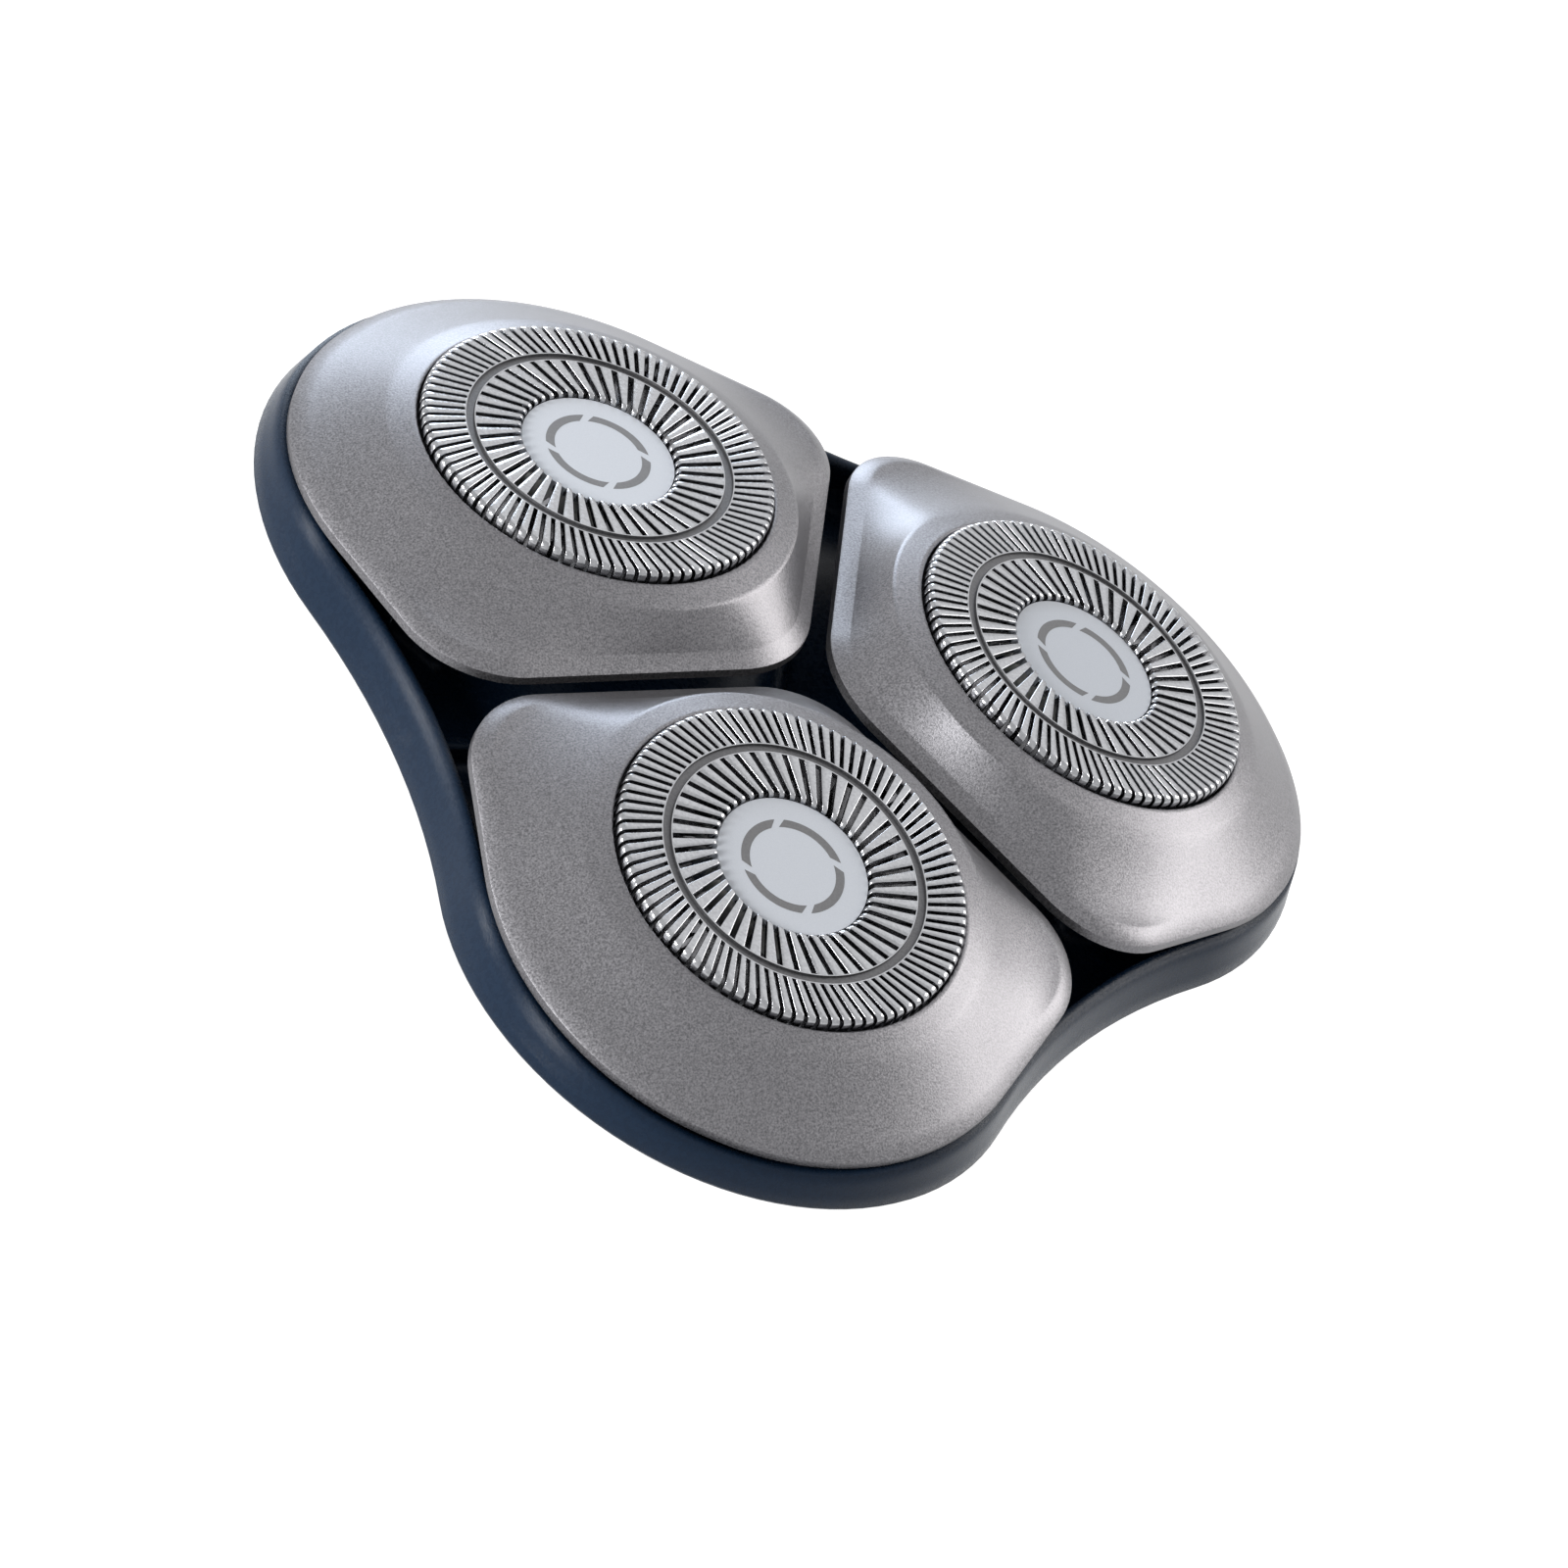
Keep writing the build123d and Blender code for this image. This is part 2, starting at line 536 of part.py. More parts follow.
def floor_rib():
    """Low rib on the tray's floor, under the gap between two pods."""
    outer = waist_centre().length - WAIST_ARC_R - RIB_SINK
    middle = (RIB_INNER + outer) / 2
    return Pos(middle, 0, FLOOR_TOP) * extrude(Rectangle(outer - RIB_INNER, RIB_WIDTH), RIB_HEIGHT)


def screw_place(index):
    """Upright axis of a cover screw, under a waist of the tray."""
    return Rot(0, 0, (index + 0.5) * STEP) * Pos(SCREW_PITCH_R, 0, 0)


def gear_cover():
    """Lower housing with bearings for the gears and the coupling collar."""
    inner_top = COVER_GROW - COVER_WALL
    cavity_depth = WALL_BOTTOM - COVER_FLOOR
    cover = loft([
        lobed(COVER_GROW, WALL_BOTTOM),
        lobed(COVER_GROW - COVER_HEIGHT * COVER_SLOPE, COVER_BOTTOM),
    ], ruled=True)
    cover -= loft([
        lobed(inner_top, WALL_BOTTOM),
        lobed(inner_top - cavity_depth * COVER_SLOPE, COVER_FLOOR),
    ], ruled=True)
    cover += tube(COUPLING_R, COUPLING_BORE_R, 0, COVER_BOTTOM)
    groove_r = COUPLING_R - SNAP_GROOVE_DEPTH
    cover -= tube(COUPLING_R + FREE_GAP, groove_r, SNAP_GROOVE_Z, SNAP_GROOVE_Z + SNAP_GROOVE_WIDTH)
    thrust = GEAR_BOTTOM - RUNNING_GAP
    cover += disc(DRIVE_HUB_R + BEARING_WALL, COVER_FLOOR, thrust)
    cover -= disc(DRIVE_HUB_R + RUNNING_GAP, COVER_BOTTOM, thrust)
    for i in range(HEADS):
        axis = spindle_place(i)
        cover += axis * disc(PIVOT_PIN_R + BEARING_WALL, COVER_FLOOR, thrust)
        cover += axis * disc(PIVOT_PIN_R, COVER_FLOOR, GEAR_BOTTOM + PIVOT_PIN_LENGTH)
        post = screw_place(i)
        cover -= post * disc(SCREW_POST_R + FREE_GAP, POST_JOINT_Z, WALL_BOTTOM)
        cover += post * disc(SCREW_POST_R, COVER_BOTTOM, POST_JOINT_Z)
        cover -= post * disc(SCREW_SHANK_R + SLIDING_GAP, COVER_BOTTOM, POST_JOINT_Z)
        cover -= post * disc(SCREW_HEAD_R + SLIDING_GAP, COVER_BOTTOM, SCREW_SEAT)
    return cover


def cover_screws():
    """Three alike screws, each a separate solid with a six-sided drive recess."""
    head_low = COVER_BOTTOM + SCREW_RECESS
    screw = disc(SCREW_HEAD_R, head_low, SCREW_SEAT) + disc(SCREW_SHANK_R, SCREW_SEAT, SCREW_TOP)
    drive = extrude(RegularPolygon(SCREW_DRIVE_R, 6), SCREW_HEAD_HEIGHT / 2)
    screw -= Pos(0, 0, head_low) * drive
    return Compound([screw_place(i) * screw for i in range(HEADS)])


def save(shape, name):
    """Writes one piece, fused or grouped as it is, to the parts folder."""
    export_step(shape, f"parts/{name}.step")


def main():
    os.makedirs("parts", exist_ok=True)
    save(base_tray(), "base_tray")
    save(gear_cover(), "gear_cover")
    save(cover_screws(), "cover_screws")
    save(drive_gear(), "drive_gear")
    tilting = {
        "pod_shell": pod_shell(), "retaining_ring": retaining_ring(), "guard": guard(),
        "badge_disc": badge_disc(), "cutter_blades": cutter_blades(), "cutter_carrier": cutter_carrier(),
    }
    upright = {"spindle": spindle(), "spindle_spring": spindle_spring(), "spindle_gear": spindle_gear()}
    for i in range(HEADS):
        for name, piece in tilting.items():
            save(head_plane(i) * piece, f"{name}_{i + 1}")
        for name, piece in upright.items():
            save(spindle_place(i) * piece, f"{name}_{i + 1}")


if __name__ == "__main__":
    main()
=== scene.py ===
import json
from math import atan2, cos, hypot, pi, radians, sin, sqrt

import bpy
from mathutils import Matrix, Vector


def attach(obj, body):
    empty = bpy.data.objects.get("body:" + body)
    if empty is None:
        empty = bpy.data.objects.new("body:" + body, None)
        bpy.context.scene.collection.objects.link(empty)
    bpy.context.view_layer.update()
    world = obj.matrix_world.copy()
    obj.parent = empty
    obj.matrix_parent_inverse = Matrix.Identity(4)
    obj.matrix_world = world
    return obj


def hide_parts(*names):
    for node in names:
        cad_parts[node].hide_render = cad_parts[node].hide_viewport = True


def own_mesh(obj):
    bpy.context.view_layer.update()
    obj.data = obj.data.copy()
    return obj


MM = 0.001
MICRON = 1e-6
HEADS = (1, 2, 3)

# Meshes
CREASE = radians(32)          # sharper edges of the CAD nodes stay crisp
WELD_DISTANCE = 1 * MICRON
TURNED_STEPS = 180            # steps round a turned ring

# Guard, with heights below its face
GUARD_R = 9.63 * MM
GUARD_EDGE = 0.34 * MM        # round between face and wall
GUARD_THICKNESS = 0.30 * MM
FLANGE_TOP = -1.8 * MM
GROOVE_INNER_R = 6.82 * MM
GROOVE_OUTER_R = 7.28 * MM
GROOVE_DEPTH = 0.15 * MM
GROOVE_SLOPE = 0.03 * MM
RIM_BESIDE_GROOVE = 0.06 * MM
OUTER_SLOTS = 90
OUTER_SLOT = 0.22 * MM
INNER_SLOTS = 45
INNER_SLOT = 0.30 * MM
SLOT_SKEW = radians(16)
SLOT_END = -1.1 * MM          # foot of the slots on the outer wall
WELL_R = 4.2 * MM
WELL_EDGE = 0.30 * MM         # round between face and well
WELL_SLOT_END = -0.75 * MM
BAR_ROUND = 0.035 * MM        # round along a bar
BAR_CORNER = 0.3 * BAR_ROUND  # middle point of that round
FACE_STEPS = 6                # steps of a bar across the face
EDGE_STEPS = 5                # steps of a bar over an edge
GUARD_CREASE = radians(50)

# Pod, with heights below the guard's face
POD_BOTTOM = -4.1 * MM
LIP_TOP = -3.55 * MM
LIP_ROUND = 0.08 * MM
BEVEL_WIDTH = 0.8 * MM
BEVEL_TOP = -3.1 * MM
COLLAR_R = 11.2 * MM
COLLAR_TOP = -0.6 * MM
COLLAR_FOOT = -1.1 * MM
BORE_R = 9.73 * MM
BORE_ROUND = 0.12 * MM
FLANGE_BORE_R = 10.58 * MM
FLANGE_SEAT = -1.8 * MM
RING_BORE_R = 11.85 * MM
RING_SEAT = -3.15 * MM
SHORT_FLANK = 3.2 * MM        # flanks up to this width are straight
LONG_FLANK = 7.6 * MM         # flanks of this width are the most hollow
HOLLOW = 1.25                 # added to the power of the flank's curve there
POD_SPOKES = 360
FLANK_STEPS = 26
COLLAR_STEPS = 8
BORE_STEPS = 4
FLANK_SOFTENING = 9           # rounds of averaging that blend collar and flank
POD_CREASE = radians(40)

# Reading a pod's outline from its CAD node
SAME_HEIGHT = 0.01 * MM
OUTSIDE_BORE = 0.5 * MM       # the outline lies at least this far outside the ring's bore
POINT_DISTANCE = 0.02 * MM    # nearer points count as one
PARALLEL = 1e-12              # smaller products of two directions count as none

# Ring mark on the badge, turned on each head as in the photograph
MARK_INNER_R = 2.38 * MM
MARK_OUTER_R = 2.86 * MM
MARK_ARCS = 4
MARK_STEPS = 24
MARK_GAP = radians(11)
MARK_SLANT = radians(9)
MARK_HEIGHT = -0.306 * MM     # just above the badge
MARK_TURN = {1: radians(72), 2: radians(51), 3: radians(30)}

# Springs under the spindles
SPRING_WIRE_R = 0.2 * MM
SPRING_MEAN_R = 1.2 * MM
SPRING_TURNS = 3
SPRING_STEPS = 72             # steps along the wire
SPRING_SIDES = 10
SPRING_CREASE = radians(60)

# View, fitted to the three guards of the photograph
CAMERA_PLACE = (-0.3794, -0.3726, 0.4415)
VIEW_DIRECTION = (0.5559, 0.5424, -0.6299)
IMAGE_UP = (-0.0053, 0.76, 0.6499)
LENS = 303.97
SENSOR_WIDTH = 36
NEAREST, FARTHEST = 0.01, 50

# Floor and surroundings
WORLD_LIGHT = 0.25            # strength of the white surroundings as a light
FLOOR_HALF = 2.0
FLOOR_LEVEL = -0.05 * MM
FLOOR_GLOW = 0.60             # share of the floor that glows for the eye
FLOOR_WHITE = 1.43            # strength of that glow, for white where no shadow falls
FLOOR_ROUGHNESS = 0.9
PAPER_GRAIN = 400
PAPER_DARK = (0.88, 0.88, 0.88)
PAPER_LIGHT = (0.90, 0.90, 0.90)

# Lamps around a target, with angles in degrees
LAMP_TARGET = (0, 0, 0.012)
LAMPS = {
    "back_softbox": {
        "azimuth": 44, "elevation": 42, "distance": 0.8, "size": (0.7, 0.58), "radiance": 0.45,
    },
    "cool_softbox": {
        "azimuth": 73, "elevation": 13, "distance": 0.7, "size": (0.26, 0.30), "radiance": 9.0,
        "colour": (0.76, 0.87, 1.0),
    },
    "warm_softbox": {
        "azimuth": -2, "elevation": 31, "distance": 0.7, "size": (0.34, 0.32), "radiance": 8.0,
        "colour": (1.0, 0.97, 0.94),
    },
    "edge_strip": {
        "azimuth": 149, "elevation": 14, "distance": 0.5, "size": (0.13, 0.18), "radiance": 22.0,
    },
    "left_strip": {
        "azimuth": 190, "elevation": 18, "distance": 0.5, "size": (0.13, 0.18), "radiance": 30.0,
    },
}

# Node trees
NOISE_DETAIL = 2.0
NOISE_ROUGHNESS = 0.5
NOISE_LOW, NOISE_HIGH = 0.3, 0.7   # middle range of a noise texture
MIX_DARK, MIX_LIGHT = 6, 7         # colour inputs of a Mix node
MIX_COLOUR = 2                     # colour output of a Mix node
BEVEL_SAMPLES = 8

# Finishes from a dark to a light tone and from a low to a high roughness, with grain in features per metre
FINISHES = {
    "navy_gloss": {
        "dark": (0.003, 0.011, 0.027), "light": (0.004, 0.014, 0.033), "roughness": (0.25, 0.30),
        "grain": 3000, "relief": 0.2 * MICRON, "specular": 0.17, "edge": 1.3 * MM,
    },
    "navy_matt": {
        "dark": (0.006, 0.014, 0.032), "light": (0.009, 0.019, 0.042), "roughness": (0.42, 0.52),
        "grain": 6000, "relief": 4 * MICRON, "specular": 0.2,
    },
    "silver_satin": {
        "dark": (0.105, 0.104, 0.111), "light": (0.225, 0.221, 0.234), "roughness": (0.34, 0.46),
        "grain": 9500, "relief": 8 * MICRON, "metallic": 0.9,
    },
    "black_plastic": {
        "dark": (0.010, 0.010, 0.011), "light": (0.020, 0.020, 0.021), "roughness": (0.45, 0.60),
        "grain": 6000, "relief": 4 * MICRON,
    },
    "white_plastic": {
        "dark": (0.60, 0.60, 0.58), "light": (0.68, 0.68, 0.66), "roughness": (0.40, 0.50),
        "grain": 4000, "relief": 2 * MICRON,
    },
    "gear_plastic": {
        "dark": (0.58, 0.57, 0.52), "light": (0.66, 0.65, 0.60), "roughness": (0.35, 0.45),
        "grain": 4000, "relief": 2 * MICRON,
    },
    "guard_steel": {
        "dark": (0.31, 0.315, 0.33), "light": (0.38, 0.385, 0.40), "roughness": (0.12, 0.22),
        "grain": 6000, "relief": 0.6 * MICRON, "metallic": 1,
    },
    "badge_satin": {
        "dark": (0.50, 0.525, 0.57), "light": (0.54, 0.565, 0.61), "roughness": (0.36, 0.44),
        "grain": 16000, "relief": 0.8 * MICRON, "specular": 0.2,
    },
    "blade_steel": {
        "dark": (0.16, 0.16, 0.17), "light": (0.22, 0.22, 0.23), "roughness": (0.20, 0.30),
        "grain": 6000, "relief": 0.6 * MICRON, "metallic": 1,
    },
    "spring_steel": {
        "dark": (0.40, 0.40, 0.40), "light": (0.52, 0.52, 0.52), "roughness": (0.25, 0.35),
        "grain": 6000, "relief": 0.6 * MICRON, "metallic": 1,
    },
    "screw_steel": {
        "dark": (0.36, 0.36, 0.37), "light": (0.46, 0.46, 0.47), "roughness": (0.25, 0.35),
        "grain": 6000, "relief": 1 * MICRON, "metallic": 1,
    },
    "mark_print": {
        "dark": (0.11, 0.11, 0.115), "light": (0.14, 0.14, 0.145), "roughness": (0.40, 0.50),
        "grain": 8000, "relief": 0.5 * MICRON,
    },
    "groove_steel": {
        "dark": (0.09, 0.09, 0.095), "light": (0.13, 0.13, 0.135), "roughness": (0.45, 0.55),
        "grain": 9000, "relief": 3 * MICRON, "metallic": 1,
    },
}

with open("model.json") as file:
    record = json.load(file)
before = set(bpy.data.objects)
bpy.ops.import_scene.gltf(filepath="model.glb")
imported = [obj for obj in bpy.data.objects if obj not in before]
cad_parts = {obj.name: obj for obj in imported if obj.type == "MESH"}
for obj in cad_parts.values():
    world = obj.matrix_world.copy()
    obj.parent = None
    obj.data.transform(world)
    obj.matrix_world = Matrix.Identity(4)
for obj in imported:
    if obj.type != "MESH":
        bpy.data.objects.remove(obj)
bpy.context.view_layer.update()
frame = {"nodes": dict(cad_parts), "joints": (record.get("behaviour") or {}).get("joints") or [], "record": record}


def nodes_new(name):
    """Material with its node tree and its shader."""
    material = bpy.data.materials.new(name)
    material.use_nodes = True
    tree = material.node_tree
    return material, tree, tree.nodes["Principled BSDF"]


def object_noise(tree, scale):
    """Noise in the piece's own space, with its scale in features per metre."""
    place = tree.nodes.new("ShaderNodeTexCoord")
    noise = tree.nodes.new("ShaderNodeTexNoise")
    noise.inputs["Scale"].default_value = scale
    noise.inputs["Detail"].default_value = NOISE_DETAIL
    noise.inputs["Roughness"].default_value = NOISE_ROUGHNESS
    tree.links.new(place.outputs["Object"], noise.inputs["Vector"])
    return noise.outputs["Fac"]


def spread(tree, source, low, high):
    """Maps a texture's middle range to low and high."""
    scale = tree.nodes.new("ShaderNodeMapRange")
    scale.inputs["From Min"].default_value = NOISE_LOW
    scale.inputs["From Max"].default_value = NOISE_HIGH
    scale.inputs["To Min"].default_value = low
    scale.inputs["To Max"].default_value = high
    tree.links.new(source, scale.inputs["Value"])
    return scale.outputs["Result"]


def tinted(tree, source, dark, light):
    """Colour between two tones, chosen by a texture."""
    mix = tree.nodes.new("ShaderNodeMix")
    mix.data_type = "RGBA"
    mix.inputs[MIX_DARK].default_value = (*dark, 1)
    mix.inputs[MIX_LIGHT].default_value = (*light, 1)
    tree.links.new(spread(tree, source, 0, 1), mix.inputs["Factor"])
    return mix.outputs[MIX_COLOUR]


def bumped(tree, shader, source, height):
    """Relief of a real height from a texture."""
    bump = tree.nodes.new("ShaderNodeBump")
    bump.inputs["Distance"].default_value = height
    bump.inputs["Strength"].default_value = 1.0
    tree.links.new(source, bump.inputs["Height"])
    tree.links.new(bump.outputs["Normal"], shader.inputs["Normal"])
    return bump


def softened_edges(tree, radius):
    """Normal that turns gently across an edge."""
    edge = tree.nodes.new("ShaderNodeBevel")
    edge.samples = BEVEL_SAMPLES
    edge.inputs["Radius"].default_value = radius
    return edge.outputs["Normal"]


def finish_of(name, dark, light, roughness, grain, relief, metallic=0, specular=0.5, edge=0.0):
    """Material with grain in its colour, roughness and relief. An edge above zero softens its edges."""
    material, tree, shader = nodes_new(name)
    noise = object_noise(tree, grain)
    tree.links.new(tinted(tree, noise, dark, light), shader.inputs["Base Color"])
    tree.links.new(spread(tree, noise, *roughness), shader.inputs["Roughness"])
    bump = bumped(tree, shader, noise, relief)
    if edge:
        tree.links.new(softened_edges(tree, edge), bump.inputs["Normal"])
    shader.inputs["Metallic"].default_value = metallic
    shader.inputs["Specular IOR Level"].default_value = specular
    return material


def dress_frame(materials):
    """Gives every CAD node the finish of its slot, with welded and smoothed faces."""
    for row in frame["record"]["subparts"]:
        node = frame["nodes"][row["node"]]
        for place in node.material_slots:
            place.material = materials[row["material_slot"]]
        node.data.shade_smooth()
        weld = node.modifiers.new("weld", "WELD")
        weld.merge_threshold = WELD_DISTANCE
        smooth_by_angle(node, CREASE)


def smooth_by_angle(piece, angle):
    """Keeps edges sharper than an angle crisp."""
    split = piece.modifiers.new("crisp", "EDGE_SPLIT")
    split.split_angle = angle
    split.use_edge_sharp = False


def new_piece(name, grid, material):
    """Smooth mesh object from a grid's vertices and faces."""
    mesh = bpy.data.meshes.new(name)
    mesh.from_pydata(grid.vertices, [], grid.faces)
    mesh.materials.append(material)
    mesh.shade_smooth()
    piece = bpy.data.objects.new(name, mesh)
    bpy.context.scene.collection.objects.link(piece)
    return piece


def joint(name):
    """Joint of the record by its name."""
    return next(row for row in frame["joints"] if row["name"] == name)


def head_matrix(k):
    """Frame of a shaving face: x away from the drive axis, z out of the face."""
    normal = Vector(joint(f"cutter_spin_{k}")["axis"])
    tangent = Vector(joint(f"pod_tilt_{k}")["axis"])
    centre = Vector(joint(f"cutter_spin_{k}")["pos_m"])
    across = tangent.cross(normal)
    return Matrix.Translation(centre) @ Matrix((across, tangent, normal)).transposed().to_4x4()


def seat(piece, k, body, slot, *nodes):
    """Places a piece made in the frame of a face, and lets it ride on a body."""
    piece.data.transform(head_matrix(k))
    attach(piece, f"{body}_{k}")
    if nodes:
        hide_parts(*nodes)


class Grid:
    """Collects vertices and faces of strips and turned rings."""

    def __init__(self):
        self.vertices = []
        self.faces = []

    def strip(self, rows, closed_rows=False, closed_columns=False):
        """Joins rows of points into quads."""
        start = len(self.vertices)
        width = len(rows[0])
        for row in rows:
            self.vertices.extend(row)
        for j in range(len(rows) if closed_rows else len(rows) - 1):
            below = start + j * width
            above = start + (j + 1) % len(rows) * width
            for i in range(width if closed_columns else width - 1):
                following = (i + 1) % width
                self.faces.append((below + i, below + following, above + following, above + i))

    def turned(self, profile):
        """Ring turned from (radius, height) points about z."""
        rows = []
        for radius, height in profile:
            rows.append([polar(radius, 2 * pi * i / TURNED_STEPS, height) for i in range(TURNED_STEPS)])
        self.strip(rows, closed_columns=True)


def polar(radius, angle, height):
    """Point at a radius, an angle and a height."""
    return Vector((radius * cos(angle), radius * sin(angle), height))


def arc(centre, radius, start, end, steps):
    """Points of an arc with their outward directions, as (radius, height, out, up)."""
    points = []
    for i in range(steps + 1):
        angle = start + (end - start) * i / steps
        out, up = cos(angle), sin(angle)
        points.append((centre[0] + radius * out, centre[1] + radius * up, out, up))
    return points


def slot_turn(radius, middle):
    """Angle by which a straight skewed slot has turned where it crosses a radius."""
    run = sqrt(radius ** 2 - (middle * sin(SLOT_SKEW)) ** 2) - middle * cos(SLOT_SKEW)
    return atan2(run * sin(SLOT_SKEW), middle + run * cos(SLOT_SKEW))


def across_face(start, end):
    """Line of a bar across the face, up to where an edge begins."""
    return [(start + (end - start) * i / FACE_STEPS, 0, 0, 1) for i in range(FACE_STEPS)]


def outer_path():
    """Line of the outer bars: across the face, over the edge and down the wall."""
    bend = (GUARD_R - GUARD_EDGE, -GUARD_EDGE)
    face = across_face(GROOVE_OUTER_R + RIM_BESIDE_GROOVE, bend[0])
    return face + arc(bend, GUARD_EDGE, pi / 2, 0, EDGE_STEPS) + [(GUARD_R, SLOT_END, 1, 0)]


def inner_path():
    """Line of the inner bars: from the groove inwards, over the edge and into the well."""
    bend = (WELL_R + WELL_EDGE, -WELL_EDGE)
    face = across_face(GROOVE_INNER_R - RIM_BESIDE_GROOVE, bend[0])
    return face + arc(bend, WELL_EDGE, pi / 2, pi, EDGE_STEPS) + [(WELL_R, WELL_SLOT_END, -1, 0)]


def bar_side(spot, angle, sense):
    """Rounded long side of a bar at a spot of its line, from the underside to the face."""
    radius, height, out, up = spot
    section = ((0, -GUARD_THICKNESS), (0, -BAR_ROUND), (BAR_CORNER, -BAR_CORNER), (BAR_ROUND, 0))
    return [polar(radius + depth * out, angle + sense * side / radius, height + depth * up)
            for side, depth in section]


def bars(grid, path, count, slot, middle):
    """Bars between the slots of one track."""
    for k in range(count):
        rows = []
        for spot in path:
            radius = spot[0]
            half = slot / 2 / radius / cos(SLOT_SKEW)
            turn = slot_turn(radius, middle)
            low = 2 * pi * k / count + turn + half
            high = 2 * pi * (k + 1) / count + turn - half
            rows.append(bar_side(spot, low, 1) + bar_side(spot, high, -1)[::-1])
        grid.strip(rows)


def guard(k, material, dull):
    """Slotted guard whose slots run over the outer edge and into the well."""
    grid = Grid()
    bars(grid, outer_path(), OUTER_SLOTS, OUTER_SLOT, (GROOVE_OUTER_R + GUARD_R) / 2)
    bars(grid, inner_path(), INNER_SLOTS, INNER_SLOT, (WELL_R + GROOVE_INNER_R) / 2)
    outer_end = GROOVE_OUTER_R + RIM_BESIDE_GROOVE
    inner_end = GROOVE_INNER_R - RIM_BESIDE_GROOVE
    grid.turned([
        (GROOVE_OUTER_R, 0), (outer_end, 0), (outer_end, -GUARD_THICKNESS), (inner_end, -GUARD_THICKNESS),
        (inner_end, 0), (GROOVE_INNER_R, 0),
    ])
    groove_start = len(grid.faces)
    grid.turned([
        (GROOVE_INNER_R, 0), (GROOVE_INNER_R + GROOVE_SLOPE, -GROOVE_DEPTH),
        (GROOVE_OUTER_R - GROOVE_SLOPE, -GROOVE_DEPTH), (GROOVE_OUTER_R, 0),
    ])
    groove_end = len(grid.faces)
    grid.turned([
        (GUARD_R, SLOT_END), (GUARD_R, FLANGE_TOP), (GUARD_R - GUARD_THICKNESS, FLANGE_TOP),
        (GUARD_R - GUARD_THICKNESS, SLOT_END), (GUARD_R, SLOT_END),
    ])
    piece = new_piece(f"slotted_guard_{k}", grid, material)
    piece.data.materials.append(dull)
    for face in piece.data.polygons[groove_start:groove_end]:
        face.material_index = 1
    smooth_by_angle(piece, GUARD_CREASE)
    seat(piece, k, "guard_unit", "guard_steel", f"guard_{k}")


def pod_outline(k):
    """Outline points of a pod, read from the lower edge of its CAD node."""
    to_face = head_matrix(k).inverted()
    points = [to_face @ v.co for v in frame["nodes"][f"pod_shell_{k}"].data.vertices]
    lowest = [p for p in points if abs(p.z - POD_BOTTOM) < SAME_HEIGHT]
    edge = [p for p in lowest if hypot(p.x, p.y) > RING_BORE_R + OUTSIDE_BORE]
    edge.sort(key=lambda p: atan2(p.y, p.x))
    kept = [edge[0]]
    for point in edge[1:]:
        if (point - kept[-1]).length > POINT_DISTANCE:
            kept.append(point)
    return kept


def even_outline(corners, count):
    """Points at equal angles on a closed outline, with their outward directions."""
    spokes = []
    closed = corners + corners[:1]
    for i in range(count):
        angle = -pi + 2 * pi * (i + 0.5) / count
        ray = Vector((cos(angle), sin(angle)))
        for a, b in zip(closed, closed[1:]):
            edge = (b - a).to_2d()
            side = ray.cross(edge)
            if abs(side) < PARALLEL:
                continue
            share = a.to_2d().cross(ray) / side
            reach = a.to_2d().cross(edge) / side
            if 0 <= share <= 1 and reach > 0:
                spokes.append((ray * reach, Vector((edge.y, -edge.x)).normalized()))
                break
    return spokes


def flank_height(share, reach):
    """Height between the bevel, at share 0, and the foot of the collar, at share 1."""
    width = min(max((reach - SHORT_FLANK) / (LONG_FLANK - SHORT_FLANK), 0), 1)
    power = 1 + HOLLOW * width * width * (3 - 2 * width)
    return BEVEL_TOP + (COLLAR_FOOT - BEVEL_TOP) * share ** power


def softened(values, rounds):
    """Heights averaged with their neighbours, with both ends kept."""
    for _ in range(rounds):
        inner = [(a + 2 * b + c) / 4 for a, b, c in zip(values, values[1:], values[2:])]
        values = [values[0], *inner, values[-1]]
    return values


def pod_column(point, outward):
    """Section of a pod from its lower edge, over lip, bevel, flank and collar, to its bores."""
    bevel_end = point - outward * BEVEL_WIDTH
    direction = bevel_end.normalized()
    reach = bevel_end.length - COLLAR_R
    collar_end = BORE_R + BORE_ROUND
    spots = [bevel_end - direction * reach * i / FLANK_STEPS for i in range(FLANK_STEPS)]
    heights = [flank_height(i / FLANK_STEPS, reach) for i in range(FLANK_STEPS)]
    for i in range(COLLAR_STEPS + 1):
        share = i / COLLAR_STEPS
        spots.append(direction * (COLLAR_R + (collar_end - COLLAR_R) * share))
        heights.append(COLLAR_FOOT + (COLLAR_TOP - COLLAR_FOOT) * share)
    column = [(point, POD_BOTTOM), (point, LIP_TOP - LIP_ROUND), (point - outward * LIP_ROUND, LIP_TOP)]
    column += zip(spots, softened(heights, FLANK_SOFTENING))
    rounding = arc((collar_end, COLLAR_TOP - BORE_ROUND), BORE_ROUND, pi / 2, pi, BORE_STEPS)
    column += [(direction * radius, height) for radius, height, _, _ in rounding[1:]]
    bores = ((BORE_R, FLANGE_SEAT), (FLANGE_BORE_R, FLANGE_SEAT), (FLANGE_BORE_R, RING_SEAT),
             (RING_BORE_R, RING_SEAT), (RING_BORE_R, POD_BOTTOM))
    column += [(direction * radius, height) for radius, height in bores]
    return [Vector((spot.x, spot.y, height)) for spot, height in column]


